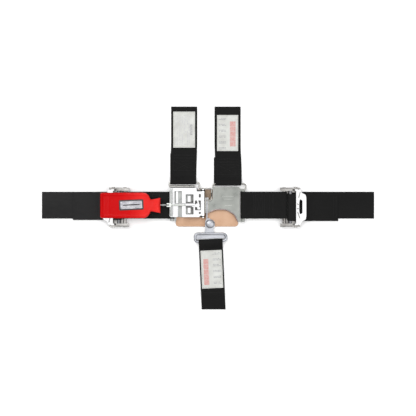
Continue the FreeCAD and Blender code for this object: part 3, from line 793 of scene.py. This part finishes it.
def crotch_print():
    """A ruled pale-red bar beside pairs of grey rows."""
    return (paired_rows(2.5 * MM, 17.5 * MM, -29 * MM, 31 * MM, 11 * MM)
            + red_stripe(-15.5 * MM, -6 * MM, -29 * MM, 20 * MM))


def labels(crotch_place):
    """The three sewn labels with plain, generic print."""
    clearance = 0.1 * MM
    for side, marks in (("left", left_print), ("right", right_print)):
        low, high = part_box(side + "_shoulder_label")
        centre = (low + high) / 2
        sewn_label(side + "_shoulder", high.x - low.x, high.y - low.y, WEB + clearance,
                   placed(centre.x, centre.y, 0), marks())
    place = crotch_place @ Matrix.Translation((52.5 * MM, 0, 0)) @ Matrix.Rotation(
        math.radians(90), 4, "Z")
    sewn_label("crotch", 39.6 * MM, 71 * MM, 2 * WEB + LAYER_GAP + clearance, place,
               crotch_print())


def red_stripe(left, right, low, high):
    """A plain pale-red bar, ruled into even segments by hairlines."""
    segments = 5
    pitch = (high - low) / segments
    return [(left, low + k * pitch, right, low + (k + 0.96) * pitch, "red_ink")
            for k in range(segments)]


# ---------------------------------------------------------------- leather pad

def leather_pad():
    """The leather behind the buckle: crowned, creased near its burnished edge."""
    low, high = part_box("leather_pad")
    centre = (low + high) / 2
    half_x, half_y = (high.x - low.x) / 2, (high.y - low.y) / 2
    corner = 6 * MM
    profile = [(0.5, 0.0), (0.0, 0.6), (0.0, 2.2), (0.35, 2.75), (0.9, 3.0), (2.2, 3.05),
               (2.7, 2.8), (3.2, 3.05), (6.0, 3.12), (14.0, 3.15), (26.0, 3.15)]
    rings = []
    for inset, height in profile:
        rings.append([Vector((centre.x + x, centre.y + y, height * MM)) for x, y in
                      rounded_rectangle(half_x - inset * MM, half_y - inset * MM,
                                        max(corner - inset * MM, 1.2 * MM), 10, 14)])
    count = len(rings[0])
    vertices = [v for ring in rings for v in ring]
    for vertex in vertices:
        if vertex.z > 2.9 * MM:
            vertex.z += 0.10 * MM * noise.noise(Vector((vertex.x * 90, vertex.y * 90, 1.0)))
    faces = ring_faces(len(rings), count)
    edge_rings = 3
    face_materials = [1 if i < edge_rings * count else 0 for i in range(len(faces))]
    piece = mesh_piece("pad_leather", vertices, faces, ["leather", "leather_edge"],
                       face_materials=face_materials, sharp=50)
    install(piece, "latch", "leather", "leather_pad")


def rounded_rectangle(half_x, half_y, radius, corner_steps, side_steps):
    """Evenly spread points round a rounded rectangle, anticlockwise."""
    points = []
    centres = [(half_x - radius, half_y - radius, 0), (radius - half_x, half_y - radius, 90),
               (radius - half_x, radius - half_y, 180), (half_x - radius, radius - half_y, 270)]
    for i, (x, y, start) in enumerate(centres):
        for k in range(corner_steps + 1):
            angle = math.radians(start + 90 * k / corner_steps)
            points.append((x + radius * math.cos(angle), y + radius * math.sin(angle)))
        nx, ny, nstart = centres[(i + 1) % 4]
        angle = math.radians(nstart)
        target = (nx + radius * math.cos(angle), ny + radius * math.sin(angle))
        here = points[-1]
        for k in range(1, side_steps):
            share = k / side_steps
            points.append((here[0] + (target[0] - here[0]) * share,
                           here[1] + (target[1] - here[1]) * share))
    return points


# ---------------------------------------------------------------- grip and cable

def smooth_step(low, high, value):
    """Rises smoothly from 0 at low to 1 at high."""
    share = min(1.0, max(0.0, (value - low) / (high - low)))
    return share * share * (3 - 2 * share)


def grip_outline(half, length):
    """The grip's half width as (run, half width) points: square end, shoulder, neck, flare."""
    corners = [(0, half - 3 * MM, 0), (0.9 * MM, half - 0.9 * MM, 1.2 * MM),
               (3 * MM, half, 3 * MM), (length - 23.2 * MM, half, 14 * MM),
               (length - 18 * MM, 10.6 * MM, 3 * MM), (length, 14.2 * MM, 0)]
    return rounded_route(corners, 1.5 * MM)


def tail_notch(t, run, length):
    """How far the grip's tail is notched at a share of its half width."""
    return 2.6 * MM * (1 - abs(t)) * smooth_step(length - 9 * MM, length, run)


def release_grip():
    """The moulded pull grip: bottle-shaped, with a raised rim and a flared, notched tail."""
    low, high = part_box("release_grip")
    length = high.x - low.x
    mid_y = (low.y + high.y) / 2
    crown = high.z - low.z
    across = 44
    outline = grip_outline((high.y - low.y) / 2, length)
    vertices = []
    for spot in outline:
        run, half = spot.x, spot.y
        neck = smooth_step(84 * MM, 102 * MM, run)
        body = crown * (1 - 0.45 * neck)
        ring = []
        for k in range(across + 1):
            t = -1 + 2 * k / across
            t = math.copysign(abs(t) ** 0.75, t)
            notch = tail_notch(t, run, length)
            depth = min(half * (1 - abs(t)), run + 0.3 * MM, (length - run) + 0.3 * MM)
            ring.append(Vector((low.x + run - notch, mid_y + half * t,
                                low.z + grip_height(body, depth, run, neck))))
        for t, height in ((1.0, 0.25), (0.97, 0.0), (-0.97, 0.0), (-1.0, 0.25)):
            notch = tail_notch(t, run, length)
            ring.append(Vector((low.x + run - notch, mid_y + half * t,
                                low.z + height * crown * 0.5)))
        vertices += ring
    count = across + 5
    piece = mesh_piece("pull_grip", vertices, ring_faces(len(outline), count), ["red"], sharp=50)
    install(piece, "grip", "red_plastic", "release_grip")
    badge()


def grip_height(body, depth, run, neck):
    """The grip's top at a depth inside its outline: rounded edge, rim, and a sunken panel."""
    edge = math.sqrt(max(0.0, 1 - (1 - min(1.0, depth / (3.6 * MM))) ** 2))
    panel = smooth_step(4.4 * MM, 6.6 * MM, depth)
    height = body * (0.60 + 0.40 * edge) - 0.9 * MM * panel * (1 - 0.7 * neck)
    groove = math.exp(-((run - 5.4 * MM) / (1.0 * MM)) ** 2)
    ridge = math.exp(-((run - 16 * MM) / (1.3 * MM)) ** 2)
    return height + (0.7 * ridge * panel - 1.3 * groove) * MM


def badge():
    """A plain silver plate in a dark border, set a little askew."""
    low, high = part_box("grip_badge")
    centre = (low + high) / 2
    seat = low.z - 0.9 * MM
    turn = Matrix.Rotation(math.radians(2.5), 4, "Z")
    place = Matrix.Translation((centre.x, centre.y, seat)) @ turn
    half_x, half_y = (high.x - low.x) / 2, (high.y - low.y) / 2
    rim = 1.9 * MM
    raised_plate("badge_border", "border", place, half_x + rim, half_y + rim,
                 ((0.0, -0.3), (0.0, 0.6), (0.5, 1.0), (2.6, 1.0)))
    piece = raised_plate("badge_face", "foil", place, half_x - 0.4 * MM, half_y - 0.4 * MM,
                         ((0.0, 0.5), (0.0, 1.3), (0.35, 1.6), (2.5, 1.62), (6.0, 1.7)))
    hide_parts("grip_badge")


def raised_plate(name, material, place, half_x, half_y, profile):
    """A rounded plate on the grip from (inset, height) steps."""
    rings = []
    for inset, height in profile:
        outline = rounded_rectangle(half_x - inset * MM, half_y - inset * MM, 2.2 * MM, 6, 10)
        rings.append([place @ Vector((x, y, height * MM)) for x, y in outline])
    vertices = [v for ring in rings for v in ring]
    piece = mesh_piece(name, vertices, ring_faces(len(rings), len(rings[0])), [material])
    return install(piece, "grip", "badge")


def release_cable():
    """The stranded cable between its ferrule and the grip."""
    low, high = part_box("release_cable")
    centre = (low + high) / 2
    radius = (high.y - low.y) / 2
    rings, count = 60, 36
    vertices = []
    for i in range(rings):
        share = i / (rings - 1)
        twist = share * 2.2 * math.pi
        for k in range(count):
            angle = 2 * math.pi * k / count
            lobe = abs(math.sin(3.5 * (angle + twist)))
            r = radius * (0.8 + 0.2 * lobe)
            vertices.append(Vector((low.x + (high.x - low.x) * share,
                                    centre.y + r * math.cos(angle),
                                    centre.z + r * math.sin(angle))))
    piece = mesh_piece("cable_strands", vertices, ring_faces(rings, count), ["cable"], sharp=70)
    install(piece, "grip", "cable", "release_cable")


# ---------------------------------------------------------------- small metal details

def bead(name, points, radius, material, body, slot, flat=1.0):
    """A half-sunk round bead along a line of points."""
    count = 10
    vertices = []
    for i, point in enumerate(points):
        heading = (points[min(i + 1, len(points) - 1)] - points[max(i - 1, 0)]).normalized()
        side = Vector((-heading.y, heading.x, 0)).normalized()
        up = heading.cross(side)
        for k in range(count):
            angle = 2 * math.pi * k / count
            vertices.append(point + (side * math.cos(angle)
                                     + up * math.sin(angle) * flat) * radius)
    piece = mesh_piece(name, vertices, ring_faces(len(points), count), [material], sharp=60)
    return install(piece, body, slot)


def lever_lip():
    """The rolled left end of the lever, drawn in darker steel as painted shade."""
    low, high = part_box("latch_lever")
    profile = [(-0.5, -2.0), (-0.55, -0.9), (0.1, -0.1), (1.2, 0.42), (2.6, 0.62), (4.0, 0.45),
               (5.0, 0.02), (5.2, -0.6), (4.9, -2.0)]
    top = low.z + LEVER_TOP
    vertices = []
    stations = 24
    for i in range(stations + 1):
        share = i / stations
        y = low.y + 1.2 * MM + (high.y - low.y - 2.4 * MM) * share
        tuck = 1.2 * MM * (abs(2 * share - 1) ** 12)
        vertices += [Vector((low.x + x * MM + tuck, y, top + z * MM)) for x, z in profile]
    piece = mesh_piece("lever_lip", vertices, ring_faces(stations + 1, len(profile)),
                       ["mid_shade_steel"], sharp=60)
    install(piece, "lever", "chrome")


def lever_creases():
    """Pressed creases beside the cable's groove and across the lever's rolled end, drawn
    near-black as painted shade.
    """
    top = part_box("latch_lever")[0].z + LEVER_TOP
    for i, ends in enumerate((((-62, 8.3), (-25, 8.3)), ((-62, 4.2), (-25, 4.2)),
                              ((-65.4, 30), (-65.4, 9)), ((-65.4, 3.5), (-65.4, -12)))):
        (x0, y0), (x1, y1) = ends
        line = [Vector((x * MM, y * MM, top - 0.1 * MM))
                for x, y in ((x0, y0), ((x0 + x1) / 2, (y0 + y1) / 2), (x1, y1))]
        bead("lever_crease_%d" % i, line, 0.36 * MM, "deep_shade_steel", "lever", "chrome")


def link_details():
    """The rolled rim of the link's arch, tinted pink by a painted reflection of the leather, and
    three plain engraved lines.
    """
    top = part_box("link_plate")[0].z + 4.1 * MM
    arch = rounded_route([(1.6 * MM, -8.5 * MM, 0), (15 * MM, -3 * MM, 22 * MM),
                          (34 * MM, -3 * MM, 22 * MM), (50 * MM, -13 * MM, 12 * MM),
                          (56 * MM, -26 * MM, 0)])
    bead("arch_rim", [Vector((p.x, p.y + 0.5 * MM, top - 0.5 * MM)) for p in arch], 1.15 * MM,
         "rim_leather_reflection", "link", "satin_steel")
    for i, (x0, x1, y) in enumerate(((27, 48, 22.0), (31, 45, 5.0), (30, 46, 16.5))):
        line = [Vector((x * MM, y * MM, top - 0.12 * MM)) for x in (x0, (x0 + x1) / 2, x1)]
        bead("engraved_line_%d" % i, line, (0.55 if i < 2 else 0.3) * MM, "bright_line", "link",
             "satin_steel")


def cam_ribs(side, sign):
    """Pressed ribs that fan out over an adjuster's cam lever, drawn dark as painted shade."""
    low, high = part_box(side + "_cam_lever")
    pivot = middle(side + "_cam_lever").y
    inner = min(abs(low.x), abs(high.x)) + 4.1 * MM
    ribs = (((7.5, 29.0), (4.4, 17.0)), ((1.6, 6.8), (4.6, 4.4)), ((1.4, -2.7), (4.5, -2.7)),
            ((2.4, -8.0), (7.2, -21.5)))
    sinking = ((0.0, 0.45), (0.12, 0.08), (0.5, 0.0), (0.88, 0.08), (1.0, 0.45))
    for i, ends in enumerate(ribs):
        start, end = (Vector((sign * (inner + x * MM), pivot + sign * y * MM, high.z))
                      for x, y in ends)
        line = [start.lerp(end, share) - Vector((0, 0, sunk * MM)) for share, sunk in sinking]
        bead("%s_cam_rib_%d" % (side, i), line, 0.95 * MM, "cam_rib_shade", side + "_cam", "chrome",
             0.4)


# ---------------------------------------------------------------- metal parts from the frame

METAL_NODES = {
    "mid_shade_steel": ("latch_base",),
    "chrome": ("latch_lever", "latch_hook", "latch_rails", "left_cam_lever", "right_cam_lever",
               "hinge_pin"),
    "satin_steel": ("link_plate", "base_rivets", "eject_spring"),
    "wire": ("left_shoulder_fitting", "right_shoulder_fitting"),
    "zinc": ("crotch_fitting",),
    "frame_steel": ("left_adjuster_frame", "right_adjuster_frame", "left_stub_pins",
                    "right_stub_pins", "left_adjuster_bar", "right_adjuster_bar",
                    "anchor_pin"),
    "bright_line": ("cable_anchor",),
    # The slide bars are drawn near-black as painted shade in the gap between the straps.
    "deep_shade_steel": ("left_slide_bar", "right_slide_bar"),
    "cable": ("cable_eye",),
}


def dress_frame_parts():
    """Gives the frame's metal parts their finish.

    The edge break rounds none of their outer edges, because the frame's faces share no vertices.
    It reaches three edges only, inside faces of latch_base and crotch_fitting."""
    for material, names in METAL_NODES.items():
        for name in names:
            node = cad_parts[name]
            node.data.materials.clear()
            node.data.materials.append(MATERIALS[material])
            node.data.polygons.foreach_set("use_smooth", [True] * len(node.data.polygons))
            node.data.set_sharp_from_angle(angle=math.radians(32))
            bevel = node.modifiers.new("edge_break", "BEVEL")
            bevel.width = EDGE_BREAK
            bevel.segments = 3
            bevel.limit_method = "ANGLE"
            bevel.angle_limit = math.radians(40)
            bevel.harden_normals = True


# ---------------------------------------------------------------- stage

def overhead_light(tree):
    """A soft sky: bright overhead and dim towards the horizon, which outlines bright metal."""
    place = tree.nodes.new("ShaderNodeTexCoord")
    parts = tree.nodes.new("ShaderNodeSeparateXYZ")
    ramp = tree.nodes.new("ShaderNodeValToRGB")
    stops = ((0.0, 0.10), (0.35, 0.16), (0.75, 0.62), (0.93, 1.0))
    elements = ramp.color_ramp.elements
    while len(elements) < len(stops):
        elements.new(0.5)
    for element, (position, level) in zip(elements, stops):
        element.position = position
        element.color = grey(level)
    tree.links.new(place.outputs["Generated"], parts.inputs[0])
    tree.links.new(parts.outputs["Z"], ramp.inputs["Fac"])
    tree.links.new(ramp.outputs["Color"], tree.nodes["Background"].inputs["Color"])
    tree.nodes["Background"].inputs["Strength"].default_value = 1.12


def stage():
    """A pale floor, soft light and the camera straight above the layout."""
    mesh = bpy.data.meshes.new("floor")
    reach, below = 14.0, -0.0004
    mesh.from_pydata([(-reach, -reach, below), (reach, -reach, below), (reach, reach, below),
                      (-reach, reach, below)], [], [(0, 1, 2, 3)])
    mesh.materials.append(floor_material())
    floor = bpy.data.objects.new("floor", mesh)
    bpy.context.scene.collection.objects.link(floor)
    world = bpy.data.worlds.new("studio")
    world.use_nodes = True
    overhead_light(world.node_tree)
    bpy.context.scene.world = world
    for name, place, energy, size in (("key", (-0.8, 0.9, 1.9), 24, 1.7),
                                      ("fill", (1.2, -0.5, 1.7), 13, 1.7)):
        lamp = bpy.data.lights.new(name, "AREA")
        lamp.energy = energy
        lamp.size = size
        light = bpy.data.objects.new(name, lamp)
        light.location = place
        light.rotation_euler = Vector(place).to_track_quat("Z", "Y").to_euler()
        bpy.context.scene.collection.objects.link(light)
    lens, sensor, view_width = 85.0, 36.0, 0.782
    camera_data = bpy.data.cameras.new("camera")
    camera_data.lens = lens
    camera_data.sensor_width = sensor
    camera = bpy.data.objects.new("camera", camera_data)
    camera.location = (0, 0, view_width * lens / sensor)
    bpy.context.scene.collection.objects.link(camera)
    bpy.context.scene.camera = camera
    bpy.context.scene.view_settings.view_transform = "Standard"


# ---------------------------------------------------------------- the whole

stage()
dress_frame_parts()
for belt_side, belt_sign in (("left", -1), ("right", 1)):
    lap_belt(belt_side, belt_sign)
    cam_ribs(belt_side, belt_sign)
shoulder_belt("left", 55 * MM, 1.6 * MM, 1.6 * MM)
shoulder_belt("right", 50 * MM, 1.3 * MM, -1.9 * MM)
labels(crotch_belt())
leather_pad()
release_grip()
release_cable()
lever_lip()
lever_creases()
link_details()

bpy.context.view_layer.update()
